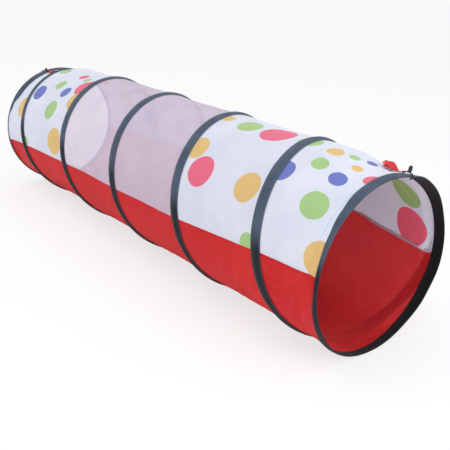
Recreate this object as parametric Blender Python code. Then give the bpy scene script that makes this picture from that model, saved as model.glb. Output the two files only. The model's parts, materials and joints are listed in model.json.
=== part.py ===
"""Pop-up crawl tunnel: a fabric tube held open by one coiled spring wire in a sewn casing.

Metres, +Z up. The tunnel lies along X with its near end at +X, and the origin is the middle of
its underside. Angles are degrees round the tunnel's axis, from the top towards -Y, and they run
on past 360 along the coil. A depth is measured inwards from the outer surface.
The coil is a little wider than the two mouths, and both rest on the floor, so the middle of the
tube rises where it widens. The tube is drawn with flat facets and rests on the lowest one.
"""

import math

import bmesh
import bpy
from mathutils import Matrix, Vector

FULL_TURN = 360.0

# Driving dimensions
LENGTH = 1.8
MOUTH_DIAMETER = 0.48
COIL_DIAMETER = 0.502
MOUTH_TAPER = 0.12
COIL_TURNS = 5
FACETS_PER_TURN = 24
GAP = 0.0003

# Spring wire and the crimped ferrules that close its end loops
WIRE_DIAMETER = 0.0025
WIRE_CLEARANCE = 0.0003
FERRULE_WALL = 0.00065
FERRULE_LENGTH = 0.026
TAIL_SETBACK = 0.001
WIRE_BEVEL_RESOLUTION = 1
BORE_SIDES = 8
CHANNEL_SIDES = 6

# Casing tape round the coil, and the thicker hem round each end loop
CASING_WIDTH = 0.035
CASING_WALL = 0.001
HEM_WIDTH = 0.035
HEM_FOLD = 0.0005
SHOULDER_DEPTH = 0.0025
CROWN_SHARE = 0.5

# Panels: dotted cloth over the bays at each end of the tunnel, netting over the rest
END_CLOTH_BAYS = 2
PANEL_THICKNESS = 0.0012
WAIST_DEPTH = 0.007
SEAM_ANGLE = 93.0
ACROSS_SHARES = (0.0, 0.2, 0.5, 0.8, 1.0)
DIP_SHARES = (0.0, 0.65, 1.0, 0.65, 0.0)
SEAM_TAPE_WIDTH = 0.010
SEAM_TAPE_THICKNESS = 0.001

# Ties on the hems
TIE_STRAP_WIDTH = 0.008
TIE_STRAP_THICKNESS = 0.0015
TIE_TAB_RISE = 0.028
TIE_LEG_DROP = 0.012
RIBBON_RUN_WIDTH = 0.007
RIBBON_RUN_HEIGHT = 0.002
RIBBON_BUNCH_WIDTH = 0.036
RIBBON_BUNCH_HEIGHT = 0.024
RIBBON_LENGTH = 0.056
RIBBON_ALONG_SHARES = (0.0, 0.22, 0.42, 0.72, 1.0)
RIBBON_FULLNESS_SHARES = (0.0, 0.05, 0.7, 1.0, 0.35)
NEAR_TIE_FACET = -1
FAR_TIE_FACET = 1

# Where the coil meets its end loops, counted in facets round from the top
JOINT_FACET = -5.5
FERRULE_FACETS = 1
FAN_FACETS = 2
CASING_CUT_FACET = 17.5

# Worked out from the sizes above
MOUTH_RADIUS = MOUTH_DIAMETER / 2
COIL_RADIUS = COIL_DIAMETER / 2
TAPER_SLOPE = (COIL_RADIUS - MOUTH_RADIUS) / MOUTH_TAPER
FACET_ANGLE = FULL_TURN / FACETS_PER_TURN
SHARP_ANGLE = 2 * FACET_ANGLE
JOINT_ANGLE = JOINT_FACET * FACET_ANGLE
BORE_RADIUS = WIRE_DIAMETER / 2 + WIRE_CLEARANCE
PAIR_SPACING = 2 * BORE_RADIUS + FERRULE_WALL
FERRULE_HEIGHT = 2 * (BORE_RADIUS + FERRULE_WALL)
FERRULE_WIDTH = FERRULE_HEIGHT + PAIR_SPACING
CASING_THICKNESS = FERRULE_HEIGHT + 2 * (GAP + CASING_WALL)
WIRE_DEPTH = CASING_THICKNESS / 2
TAPER_SAG = abs(TAPER_SLOPE) * CASING_WIDTH / 4
PANEL_DEPTH = CASING_THICKNESS + TAPER_SAG + GAP
HEM_THICKNESS = PANEL_DEPTH + PANEL_THICKNESS + HEM_FOLD
RING_X = (LENGTH - HEM_WIDTH) / 2
HEM_EDGE = RING_X - HEM_WIDTH / 2
PITCH = 2 * RING_X / COIL_TURNS
TAPER_START = HEM_EDGE - PITCH * FAN_FACETS / FACETS_PER_TURN
COIL_START = JOINT_ANGLE
COIL_END = JOINT_ANGLE + COIL_TURNS * FULL_TURN
FAR_COVER_END = COIL_START + FAN_FACETS * FACET_ANGLE
NEAR_COVER_START = COIL_END - FAN_FACETS * FACET_ANGLE
GAP_ANGLE = math.degrees(GAP / MOUTH_RADIUS)

STEEL = ("spring_steel", (0.42, 0.43, 0.45), 0.35, 1.0)
FERRULE_STEEL = ("zinc_plated_steel", (0.55, 0.56, 0.58), 0.4, 1.0)
NAVY_TAPE = ("navy_polyester_tape", (0.030, 0.040, 0.065), 0.8, 0.0)
BLACK_ELASTIC = ("black_elastic", (0.020, 0.025, 0.028), 0.85, 0.0)
WHITE_CLOTH = ("white_polyester", (0.76, 0.76, 0.83), 0.75, 0.0)
MESH_CLOTH = ("white_netting", (0.66, 0.62, 0.70), 0.8, 0.0)
RED_CLOTH = ("red_polyester", (0.58, 0.035, 0.03), 0.7, 0.0)
PINK_TAPE = ("seam_tape", (0.70, 0.30, 0.30), 0.75, 0.0)
RED_RIBBON = ("red_satin_ribbon", (0.66, 0.02, 0.02), 0.4, 0.0)


def clear_scene():
    """Remove whatever the scene holds."""
    for item in list(bpy.data.objects):
        bpy.data.objects.remove(item, do_unlink=True)


def material(finish):
    """Return the Principled material of a finish, made once."""
    name, colour, roughness, metallic = finish
    made = bpy.data.materials.get(name)
    if made is None:
        made = bpy.data.materials.new(name)
        made.use_nodes = True
        shader = made.node_tree.nodes["Principled BSDF"]
        shader.inputs["Base Color"].default_value = (*colour, 1.0)
        shader.inputs["Roughness"].default_value = roughness
        shader.inputs["Metallic"].default_value = metallic
    return made


def add_carrier(name, x):
    """Add the empty that carries one moving group, in the middle of the tube at x."""
    carrier = bpy.data.objects.new(name, None)
    carrier.location = (x, 0.0, radius_at(x))
    bpy.context.collection.objects.link(carrier)
    return carrier


def add_piece(name, bm, finish, carrier):
    """Turn a bmesh that holds world places into a named object under its carrier."""
    mesh = bpy.data.meshes.new(name)
    bmesh.ops.recalc_face_normals(bm, faces=bm.faces[:])
    bm.to_mesh(mesh)
    bm.free()
    mesh.transform(Matrix.Translation(-carrier.location))
    mesh.shade_smooth()
    mesh.set_sharp_from_angle(angle=math.radians(SHARP_ANGLE))
    mesh.materials.append(material(finish))
    piece = bpy.data.objects.new(name, mesh)
    piece.parent = carrier
    bpy.context.collection.objects.link(piece)
    return piece


def facet_corners(start, end):
    """Angles of a sweep: its two ends, and every facet corner between them."""
    first = math.floor(start / FACET_ANGLE - 0.5) + 1
    last = math.ceil(end / FACET_ANGLE - 0.5) - 1
    return [start] + [(k + 0.5) * FACET_ANGLE for k in range(first, last + 1)] + [end]


def radius_at(x):
    """Outer radius of the tube at x: the coil's, drawn in evenly towards each mouth."""
    inside = min(max(TAPER_START - abs(x), 0.0), MOUTH_TAPER)
    return MOUTH_RADIUS + TAPER_SLOPE * inside


def on_facet(angle, x, across, height):
    """Place in the frame of the facet whose middle is at this angle: across it, and above it."""
    outward = Vector((0.0, -math.sin(math.radians(angle)), math.cos(math.radians(angle))))
    onward = Vector((0.0, -math.cos(math.radians(angle)), -math.sin(math.radians(angle))))
    radius = radius_at(x)
    return Vector((x, 0.0, radius)) + outward * (radius + height) + onward * across


def on_tube(angle, x, depth):
    """Place on the facetted tube at an angle, at a depth under its outer surface."""
    middle = round(angle / FACET_ANGLE) * FACET_ANGLE
    across = (radius_at(x) - depth) * math.tan(math.radians(angle - middle))
    return on_facet(middle, x, across, -depth)


def coil_x(angle):
    """The wire's place along the tunnel: flat in each end loop, at a steady pitch between."""
    turned = min(max(angle, COIL_START), COIL_END) - COIL_START
    return -RING_X + PITCH * turned / FULL_TURN


def sweep(name, finish, carrier, stations, loops_at):
    """Extrude a section through the stations. One loop makes a solid bar, two a bored one."""
    bm = bmesh.new()
    corner = bm.verts.layers.int.new("corner")
    loops = []
    number = 0
    for loop in loops_at(stations[0]):
        verts = []
        for place in loop:
            vert = bm.verts.new(place)
            vert[corner] = number
            number += 1
            verts.append(vert)
        loops.append(verts)
    if len(loops) == 1:
        bm.faces.new(loops[0])
    else:
        outer, bore = loops
        for k, vert in enumerate(outer):
            bm.faces.new((outer[k - 1], vert, bore[k], bore[k - 1]))
    grown = bm.verts[:] + bm.edges[:] + bm.faces[:]
    for station in stations[1:]:
        places = [place for loop in loops_at(station) for place in loop]
        grown = bmesh.ops.extrude_face_region(bm, geom=grown)["geom"]
        for part in grown:
            if isinstance(part, bmesh.types.BMVert):
                part.co = places[part[corner]]
    return add_piece(name, bm, finish, carrier)


def add_box(name, size, place, angle, finish, carrier):
    """Add a box turned to a facet's angle, as (along X, across the facet, outwards)."""
    bm = bmesh.new()
    turn = Matrix.Rotation(math.radians(angle), 4, "X")
    grow = Matrix.Diagonal((*size, 1.0))
    bmesh.ops.create_cube(bm, size=1.0, matrix=Matrix.Translation(place) @ turn @ grow)
    return add_piece(name, bm, finish, carrier)


def cut_out(piece, tool):
    """Cut a tool's shape out of a piece with a Boolean, and hide the tool."""
    cut = piece.modifiers.new(tool.name, "BOOLEAN")
    cut.operation = "DIFFERENCE"
    cut.object = tool
    tool.hide_render = True
    tool.display_type = "WIRE"


def wire_points():
    """Centre line of the one wire: far loop, coil and near loop, each tail beside its coil."""
    reach = FERRULE_LENGTH / 2 - TAIL_SETBACK
    tail = math.degrees(math.atan2(reach, MOUTH_RADIUS - WIRE_DEPTH))
    tail_shift = FACET_ANGLE / 2 + tail
    start = COIL_START - FULL_TURN - tail_shift
    end = COIL_END + FULL_TURN + tail_shift
    points = []
    for angle in facet_corners(start, end):
        x = coil_x(angle)
        if angle <= COIL_START - FULL_TURN:
            x -= PAIR_SPACING
        elif angle >= COIL_END + FULL_TURN:
            x += PAIR_SPACING
        points.append(on_tube(angle, x, WIRE_DEPTH))
    return points


def least_self_gap(points):
    """Least gap of the wire to itself, leaving out what lies within half a turn along it."""
    apart = FACETS_PER_TURN // 2
    places = []
    for number, (one, other) in enumerate(zip(points, points[1:])):
        places.append((number, one))
        places.append((number, (one + other) / 2))
    least = min(
        (here - there).length
        for number, here in places
        for later, there in places
        if later - number >= apart
    )
    return least - WIRE_DIAMETER


def add_wire(carrier):
    """Add the spring wire as one unbroken round tube."""
    points = wire_points()
    curve = bpy.data.curves.new("spring_wire", "CURVE")
    curve.dimensions = "3D"
    curve.bevel_depth = WIRE_DIAMETER / 2
    curve.bevel_resolution = WIRE_BEVEL_RESOLUTION
    curve.use_fill_caps = True
    spline = curve.splines.new("POLY")
    spline.points.add(len(points) - 1)
    for point, place in zip(spline.points, points):
        point.co = (*(place - carrier.location), 1.0)
    curve.materials.append(material(STEEL))
    wire = bpy.data.objects.new("spring_wire", curve)
    wire.parent = carrier
    bpy.context.collection.objects.link(wire)
    print(f"spring wire: least gap to itself {least_self_gap(points) * 1000:.2f} mm")


def add_ferrule(name, side, facet, carrier):
    """Add the crimped block that holds a loop's tail beside the coil wire, with its two bores."""
    angle = facet * FACET_ANGLE
    ring_x = side * RING_X
    middle = on_facet(angle, ring_x + side * PAIR_SPACING / 2, 0.0, -WIRE_DEPTH)
    size = (FERRULE_WIDTH, FERRULE_LENGTH, FERRULE_HEIGHT)
    block = add_box(name, size, middle, angle, FERRULE_STEEL, carrier)
    for number, shift in enumerate((0.0, side * PAIR_SPACING)):
        bm = bmesh.new()
        place = on_facet(angle, ring_x + shift, 0.0, -WIRE_DEPTH)
        lay = Matrix.Rotation(math.radians(angle + FULL_TURN / 4), 4, "X")
        corner_radius = BORE_RADIUS / math.cos(math.pi / BORE_SIDES)
        bmesh.ops.create_cone(
            bm,
            cap_ends=True,
            segments=BORE_SIDES,
            radius1=corner_radius,
            radius2=corner_radius,
            depth=FERRULE_LENGTH * 2,
            matrix=Matrix.Translation(place) @ lay,
        )
        bore = add_piece(f"{name}_bore_{number + 1}", bm, FERRULE_STEEL, carrier)
        cut_out(block, bore)


def tape_outline(left, right, thickness):
    """Outline of a sewn tape as (x, depth): flat inside, with bevelled shoulders outside."""
    inset = (right - left) * (1.0 - CROWN_SHARE) / 2
    return [
        (left, thickness),
        (left, SHOULDER_DEPTH),
        (left + inset, 0.0),
        (right - inset, 0.0),
        (right, SHOULDER_DEPTH),
        (right, thickness),
    ]


def bore_outline(x):
    """Six-sided channel for the wire as (x, depth), in the same order as a tape's outline."""
    radius = BORE_RADIUS / math.cos(math.pi / CHANNEL_SIDES)
    turns = [(k + 0.5) * 2 * math.pi / CHANNEL_SIDES for k in range(CHANNEL_SIDES)]
    return [(x - radius * math.sin(turn), WIRE_DEPTH + radius * math.cos(turn)) for turn in turns]


def pocket_outline(left, right):
    """Flat pocket for both wires and the ferrule as (x, depth), one wall inside the tape."""
    middle = (left + right) / 2
    top = CASING_WALL
    base = CASING_THICKNESS - CASING_WALL
    left += CASING_WALL
    right -= CASING_WALL
    return [(left, base), (left, top), (middle, top), (right, top), (right, base), (middle, base)]


def tube_loops(angle, outlines):
    """Put outlines of (x, depth) on the tube at an angle."""
    return [[on_tube(angle, x, depth) for x, depth in outline] for outline in outlines]


def add_hem(name, side, start, end, carrier):
    """Add the hem round one end loop, open where its joint cover sits."""
    x = side * RING_X

    def loops_at(angle):
        outline = tape_outline(x - HEM_WIDTH / 2, x + HEM_WIDTH / 2, HEM_THICKNESS)
        return tube_loops(angle, [outline, bore_outline(x)])

    sweep(name, NAVY_TAPE, carrier, facet_corners(start + GAP_ANGLE, end - GAP_ANGLE), loops_at)


def add_joint_cover(name, start, end, carrier):
    """Add the fan-shaped cover where the coil leaves its end loop."""

    def loops_at(angle):
        left = coil_x(angle) - HEM_WIDTH / 2
        right = coil_x(angle) + HEM_WIDTH / 2
        if end < COIL_END:
            left = -RING_X - HEM_WIDTH / 2
        else:
            right = RING_X + HEM_WIDTH / 2
        outlines = [tape_outline(left, right, HEM_THICKNESS), pocket_outline(left, right)]
        return tube_loops(angle, outlines)

    sweep(name, NAVY_TAPE, carrier, facet_corners(start + GAP_ANGLE, end - GAP_ANGLE), loops_at)


def add_coil_casing(name, start, end, carrier):
    """Add one turn of casing tape, kept off the hem where the coil runs close beside it."""
    limit = HEM_EDGE - GAP

    def loops_at(angle):
        x = coil_x(angle)
        left = max(x - CASING_WIDTH / 2, -limit)
        right = min(x + CASING_WIDTH / 2, limit)
        return tube_loops(angle, [tape_outline(left, right, CASING_THICKNESS), bore_outline(x)])

    sweep(name, NAVY_TAPE, carrier, facet_corners(start + GAP_ANGLE, end - GAP_ANGLE), loops_at)


def edge_after(angle):
    """Left edge of the panel that starts at the wire: under its casing, or beside a hem."""
    beside_hem = angle < FAR_COVER_END + FACET_ANGLE / 2
    return coil_x(angle) + (HEM_WIDTH / 2 + GAP if beside_hem else GAP / 2)


def edge_before(angle):
    """Right edge of the panel that ends at the wire: under its casing, or beside a hem."""
    beside_hem = angle > NEAR_COVER_START - FACET_ANGLE / 2
    return coil_x(angle) - (HEM_WIDTH / 2 + GAP if beside_hem else GAP / 2)


def panel_profile(angle, bay):
    """Outer face of a bay's cloth at an angle as (x, depth), drawn in between the wires."""
    left = edge_after(angle + (bay - 1) * FULL_TURN)
    right = edge_before(angle + bay * FULL_TURN)
    waist = WAIST_DEPTH * min(1.0, (right - left) / PITCH)
    return [
        (left + (right - left) * along, PANEL_DEPTH + waist * dip)
        for along, dip in zip(ACROSS_SHARES, DIP_SHARES)
    ]


def add_panel(name, finish, bay, start, end, carrier):
    """Add one bay of cloth between two turns of the wire."""

    def loops_at(angle):
        outer = panel_profile(angle, bay)
        inner = [(x, depth + PANEL_THICKNESS) for x, depth in reversed(outer)]
        return tube_loops(angle, [outer + inner])

    sweep(name, finish, carrier, facet_corners(start + GAP_ANGLE, end - GAP_ANGLE), loops_at)


def add_seam_tape(name, angle, carrier):
    """Add the tape sewn inside along the seam, its near end clear of the slanting joint cover."""
    profile = []
    for bay in range(COIL_TURNS + 1):
        places = panel_profile(angle, bay)
        if places[0] < places[-1]:
            profile = profile[:-1] + places
    half = math.degrees(SEAM_TAPE_WIDTH / 2 / COIL_RADIUS)
    last_x, last_depth = profile[-1]
    profile[-1] = (last_x - PITCH * half / FULL_TURN, last_depth)

    def loops_at(station):
        x, depth = station
        top = depth + PANEL_THICKNESS + GAP
        base = top + SEAM_TAPE_THICKNESS
        places = [(-half, top), (half, top), (half, base), (-half, base)]
        return [[on_tube(angle + turn, x, deep) for turn, deep in places]]

    sweep(name, PINK_TAPE, carrier, profile, loops_at)


def add_tie_strap(name, side, facet, carrier):
    """Add the elastic strap over the hem, with a doubled tab standing up and a leg down its front."""
    back = -HEM_WIDTH / 2
    front = HEM_WIDTH / 2 + GAP
    crown = GAP + TIE_STRAP_THICKNESS
    foot = -HEM_THICKNESS - TIE_LEG_DROP
    outline = [
        (back, GAP),
        (front, GAP),
        (front, foot),
        (front + TIE_STRAP_THICKNESS, foot),
        (front + TIE_STRAP_THICKNESS, crown),
        (TIE_STRAP_THICKNESS, crown),
        (TIE_STRAP_THICKNESS, crown + TIE_TAB_RISE),
        (-TIE_STRAP_THICKNESS, crown + TIE_TAB_RISE),
        (-TIE_STRAP_THICKNESS, crown),
        (back, crown),
    ]
    angle = facet * FACET_ANGLE

    def loops_at(across):
        return [[on_facet(angle, side * (RING_X + x), across, height) for x, height in outline]]

    sweep(name, BLACK_ELASTIC, carrier, (-TIE_STRAP_WIDTH / 2, TIE_STRAP_WIDTH / 2), loops_at)


def add_tie_ribbon(name, side, facet, carrier):
    """Add the bunched ribbon that lies over the hem, its thin end at the strap's tab."""
    angle = facet * FACET_ANGLE
    start = RING_X - TIE_STRAP_THICKNESS - GAP

    def loops_at(station):
        along, fullness = station
        x = side * (start - RIBBON_LENGTH * along)
        half = (RIBBON_RUN_WIDTH + (RIBBON_BUNCH_WIDTH - RIBBON_RUN_WIDTH) * fullness) / 2
        base = GAP * 2 + TIE_STRAP_THICKNESS
        tall = RIBBON_RUN_HEIGHT + (RIBBON_BUNCH_HEIGHT - RIBBON_RUN_HEIGHT) * fullness
        places = [
            (-half / 2, 0.0),
            (half / 2, 0.0),
            (half, tall / 2),
            (half / 2, tall),
            (-half / 2, tall),
            (-half, tall / 2),
        ]
        return [[on_facet(angle, x, across, base + up) for across, up in places]]

    stations = list(zip(RIBBON_ALONG_SHARES, RIBBON_FULLNESS_SHARES))
    sweep(name, RED_RIBBON, carrier, stations, loops_at)


def top_panels():
    """Name and finish of each bay's upper cloth, from the far end to the near one."""
    between = COIL_TURNS + 1 - 2 * END_CLOTH_BAYS
    far = [(f"far_top_panel_{k + 1}", WHITE_CLOTH) for k in range(END_CLOTH_BAYS)]
    middle = [(f"mesh_panel_{k + 1}", MESH_CLOTH) for k in range(between)]
    near = [(f"near_top_panel_{k + 1}", WHITE_CLOTH) for k in range(END_CLOTH_BAYS)]
    return far + middle + near


def casing_cuts():
    """Angles at which one turn's casing tape ends and the next begins, at the back of the floor."""
    first = CASING_CUT_FACET * FACET_ANGLE
    middle = [first + turn * FULL_TURN for turn in range(COIL_TURNS - 1)]
    return [FAR_COVER_END] + middle + [NEAR_COVER_START]


def build():
    """Build the whole tunnel."""
    clear_scene()
    cuts = casing_cuts()
    near_end = add_carrier("near_end", RING_X)
    far_end = add_carrier("far_end", -RING_X)
    turns = [
        add_carrier(f"turn_{k + 1}", coil_x((start + end) / 2))
        for k, (start, end) in enumerate(zip(cuts, cuts[1:]))
    ]
    bay_carriers = [far_end] + turns

    add_wire(near_end)
    half_ferrule = FERRULE_FACETS / 2
    add_ferrule("far_wire_ferrule", -1, JOINT_FACET - half_ferrule, far_end)
    add_ferrule("near_wire_ferrule", 1, JOINT_FACET + half_ferrule, near_end)

    span = FERRULE_FACETS * FACET_ANGLE
    far_cover_start = COIL_START - span
    near_cover_end = COIL_END + span
    add_joint_cover("far_joint_cover", far_cover_start, FAR_COVER_END, far_end)
    add_joint_cover("near_joint_cover", NEAR_COVER_START, near_cover_end, near_end)
    add_hem("far_hem", -1, FAR_COVER_END, far_cover_start + FULL_TURN, far_end)
    add_hem("near_hem", 1, near_cover_end, NEAR_COVER_START + FULL_TURN, near_end)
    for number, (start, end) in enumerate(zip(cuts, cuts[1:])):
        add_coil_casing(f"coil_casing_{number + 1}", start, end, turns[number])

    for bay, (name, finish) in enumerate(top_panels()):
        start = FAR_COVER_END if bay == 0 else -SEAM_ANGLE
        add_panel(name, finish, bay, start, SEAM_ANGLE, bay_carriers[bay])
    back_seam = FULL_TURN - SEAM_ANGLE
    for bay, carrier in enumerate(bay_carriers):
        end = back_seam
        if bay == COIL_TURNS:
            end = NEAR_COVER_START - (COIL_TURNS - 1) * FULL_TURN
        add_panel(f"floor_panel_{bay + 1}", RED_CLOTH, bay, SEAM_ANGLE, end, carrier)
    add_seam_tape("front_seam_tape", SEAM_ANGLE, near_end)
    add_seam_tape("back_seam_tape", back_seam, near_end)

    for name, side, facet, carrier in (
        ("far", -1, FAR_TIE_FACET, far_end),
        ("near", 1, NEAR_TIE_FACET, near_end),
    ):
        add_tie_strap(f"{name}_tie_strap", side, facet, carrier)
        add_tie_ribbon(f"{name}_tie_ribbon", side, facet, carrier)


build()
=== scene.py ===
"""Looks of a pop-up crawl tunnel: dotted cloth, netting, sewn tapes, spring wire and ties.

Metres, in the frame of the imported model: the tunnel lies along X with its near end at +X, and it
rests on z = 0. Angles are degrees round the tunnel's axis, from the top towards -Y, and they run on
past 360 along the coil. A depth is measured inwards from the outer surface.
"""

from __future__ import annotations

import json
import logging
import math
from collections.abc import Callable, Sequence
from dataclasses import dataclass
from enum import Enum

import bmesh
import bpy
from mathutils import Matrix, Vector, noise

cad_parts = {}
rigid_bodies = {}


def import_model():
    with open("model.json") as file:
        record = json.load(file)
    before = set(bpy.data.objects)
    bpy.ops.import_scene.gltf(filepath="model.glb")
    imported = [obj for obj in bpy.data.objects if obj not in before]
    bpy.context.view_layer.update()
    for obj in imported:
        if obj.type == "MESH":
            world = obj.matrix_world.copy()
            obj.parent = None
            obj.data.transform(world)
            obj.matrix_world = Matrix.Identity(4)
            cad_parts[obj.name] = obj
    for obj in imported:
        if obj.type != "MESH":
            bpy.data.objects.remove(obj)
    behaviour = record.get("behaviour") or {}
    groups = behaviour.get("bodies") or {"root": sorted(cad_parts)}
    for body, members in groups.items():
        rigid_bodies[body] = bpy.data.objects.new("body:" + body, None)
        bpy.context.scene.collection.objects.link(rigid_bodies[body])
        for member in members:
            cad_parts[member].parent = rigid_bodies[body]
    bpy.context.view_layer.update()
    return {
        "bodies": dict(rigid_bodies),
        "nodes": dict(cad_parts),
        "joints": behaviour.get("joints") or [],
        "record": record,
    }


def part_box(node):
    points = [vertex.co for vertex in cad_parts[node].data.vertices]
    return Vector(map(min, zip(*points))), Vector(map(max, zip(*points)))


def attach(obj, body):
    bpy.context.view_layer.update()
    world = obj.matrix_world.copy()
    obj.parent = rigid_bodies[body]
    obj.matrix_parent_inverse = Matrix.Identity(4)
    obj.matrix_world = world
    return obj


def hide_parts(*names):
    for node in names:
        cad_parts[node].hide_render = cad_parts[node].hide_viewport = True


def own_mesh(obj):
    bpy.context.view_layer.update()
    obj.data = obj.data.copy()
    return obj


LOG = logging.getLogger("crawl_tunnel")
FULL_TURN = 360.0
MM = 0.001
LAY = "lay"
WIRE_DISTANCE = "wire_distance"
SHARP_ANGLE = 50.0

# Short names for the types that the builders pass round.
Piece = bpy.types.Object
Look = bpy.types.Material
Mesh = bmesh.types.BMesh
Socket = bpy.types.NodeSocket
Pairs = Sequence[tuple[float, float]]


class Colour(Enum):
    """The tunnel's colours, as sRGB hex."""

    WHITE = "#DCE3F7"
    WHITE_SHADE = "#C9D2EF"
    NET = "#E8DDF0"
    NET_SHADE = "#DAD0E6"
    RED = "#CC2A2B"
    RED_SHADE = "#B81E25"
    NAVY = "#4D5B6D"
    NAVY_SHADE = "#3A4557"
    # Black is the lining and the elastic, and also the painted shade low on the navy tapes.
    BLACK = "#15171B"
    BLACK_SHADE = "#0E0F12"
    THREAD = "#5A6476"
    SEAM_PINK = "#E4A4AB"
    DOT_PINK = "#E85B78"
    DOT_ORANGE = "#DDB56B"
    DOT_GREEN = "#9CC279"
    DOT_BLUE = "#5D6CB8"
    SATIN_RED = "#E01F22"
    SATIN_SHADE = "#B01218"
    STEEL = "#9A9CA0"
    ZINC = "#B4B6B8"
    STUDIO = "#FFFFFF"

    def linear(self) -> tuple[float, float, float, float]:
        """Return the colour as linear RGBA."""
        parts = [int(self.value[k : k + 2], 16) / 255 for k in (1, 3, 5)]
        straight = [p / 12.92 if p <= 0.04045 else ((p + 0.055) / 1.055) ** 2.4 for p in parts]
        return (*straight, 1.0)


class Slot(Enum):
    """The record's material slots, one for each kind of new piece."""

    WIRE = "spring_steel"
    TAPE = "navy_tape"
    ELASTIC = "elastic"
    WHITE = "white_cloth"
    NET = "mesh_cloth"
    RED = "red_cloth"
    SEAM = "seam_tape"
    RIBBON = "ribbon"


@dataclass(frozen=True)
class Graph:
    """A node tree, and the patterns that the finishes share."""

    STITCH_HALF = 0.6 * MM

    tree: bpy.types.NodeTree

    def feed(self, socket: Socket, value: object) -> None:
        """Link an output to an input, or set the input's own value or colour.

        Args:
            socket: The input.
            value: An output, a value or a Colour.
        """
        if isinstance(value, Socket):
            self.tree.links.new(value, socket)
        else:
            socket.default_value = value.linear() if isinstance(value, Colour) else value

    def add(
        self, kind: str, inputs: dict[str | int, object], out: str | int = 0, **settings: object
    ) -> Socket:
        """Add a node with its settings and links.

        Args:
            kind: Blender's name of the node type, after ShaderNode.
            inputs: Each input's name or number, and its value or the output that feeds it.
            out: The name or number of the output that is wanted.
            **settings: The node's own properties.

        Returns:
            That output.
        """
        made = self.tree.nodes.new(f"ShaderNode{kind}")
        for name, value in settings.items():
            setattr(made, name, value)
        for key, value in inputs.items():
            self.feed(made.inputs[key], value)
        return made.outputs[out]

    def lay(self) -> tuple[Socket, Socket, Socket]:
        """Return the lay in metres: the whole of it, along the thread and across it."""
        lay = self.add("UVMap", {}, uv_map=LAY)
        parts = self.add("SeparateXYZ", {"Vector": lay}).node.outputs
        return lay, parts["X"], parts["Y"]

    def summed(self, *terms: tuple[Socket, float]) -> Socket:
        """Add up some outputs.

        Args:
            *terms: Each output and its weight.

        Returns:
            The weighted sum.
        """
        total = 0.0
        for value, weight in terms:
            total = self.add("Math", {0: value, 1: weight, 2: total}, operation="MULTIPLY_ADD")
        return total

    def wave(self, along: Socket, spacing: float) -> Socket:
        """Return a sine that rises and falls once in each spacing."""
        phase = self.summed((along, 2 * math.pi / spacing))
        return self.add("Math", {0: phase}, operation="SINE")

    def stitches(self, along: Socket, across: Socket, rows: Sequence[float], length: float) -> Socket:
        """Return 1 on the threads of some rows of stitching and 0 elsewhere.

        Args:
            along: The coordinate along the rows.
            across: The coordinate across them.
            rows: Each row's place on it.
            length: One stitch and the gap after it.

        Returns:
            The mask of the threads.
        """
        half = self.STITCH_HALF
        lines = []
        for row in rows:
            off = self.add("Math", {0: across, 1: row}, operation="SUBTRACT")
            away = self.add("Math", {0: off}, operation="ABSOLUTE")
            fade = {"Value": away, "From Min": 1.5 * half, "From Max": half}
            lines.append((self.add("MapRange", fade, interpolation_type="SMOOTHSTEP"), 1.0))
        sine = {"Value": self.wave(along, length), "From Min": -0.75, "From Max": -0.45}
        dashes = {0: self.summed(*lines), 1: self.add("MapRange", sine)}
        return self.add("Math", dashes, operation="MULTIPLY")


@dataclass(frozen=True)
class Dot:
    """One printed dot: its middle along the tunnel and round it, its radius and its colour."""

    x: float
    angle: float
    radius: float
    colour: Colour


@dataclass(frozen=True)
class Finish:
    """What every finish shares: a name, two close colours and how rough it is."""

    name: str
    colour: Colour
    shade: Colour
    roughness: float

    def dress(self) -> Look:
        """Build the material.

        Returns:
            The new material.
        """
        made = bpy.data.materials.new(self.name)
        made.use_nodes = True
        self.draw(Graph(made.node_tree))
        return made

    def draw(self, graph: Graph) -> None:
        """Add the finish's own nodes, in the way of each finish."""
        raise NotImplementedError

    def mottled(self, graph: Graph, size: float, share: float) -> Socket:
        """Mix the two colours in soft patches.

        Args:
            graph: The material's node tree.
            size: Size of a patch in metres.
            share: Most of the second colour that a patch takes.

        Returns:
            The mixed colour.
        """
        place = graph.add("TexCoord", {}, "Object")
        patches = graph.add("TexNoise", {"Vector": place, "Scale": 1 / size, "Detail": 3.0}, "Fac")
        spread = {"Value": patches, "From Min": 0.35, "From Max": 0.65, "To Max": share}
        taken = graph.add("MapRange", spread)
        return graph.add("Mix", {0: taken, 6: self.colour, 7: self.shade}, 2, data_type="RGBA")

    def paint(
        self,
        graph: Graph,
        colour: Socket,
        height: Socket,
        depth: float,
        strength: float = 0.6,
        **others: object,
    ) -> None:
        """Feed the material's Principled shader.

        Args:
            graph: The material's node tree.
            colour: The base colour.
            height: The relief, from about 0 to 1.
            depth: What a height of 1 is in metres.
            strength: How much of the relief the eye sees.
            **others: Other inputs, by name with underscores, and a value or an output for each.
        """
        bump = graph.add("Bump", {"Height": height, "Distance": depth, "Strength": strength})
        fed = {"Base Color": colour, "Roughness": self.roughness, "Normal": bump}
        fed |= {name.replace("_", " "): value for name, value in others.items()}
        shader = graph.tree.nodes["Principled BSDF"]
        for name, value in fed.items():
            graph.feed(shader.inputs[name], value)


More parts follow.
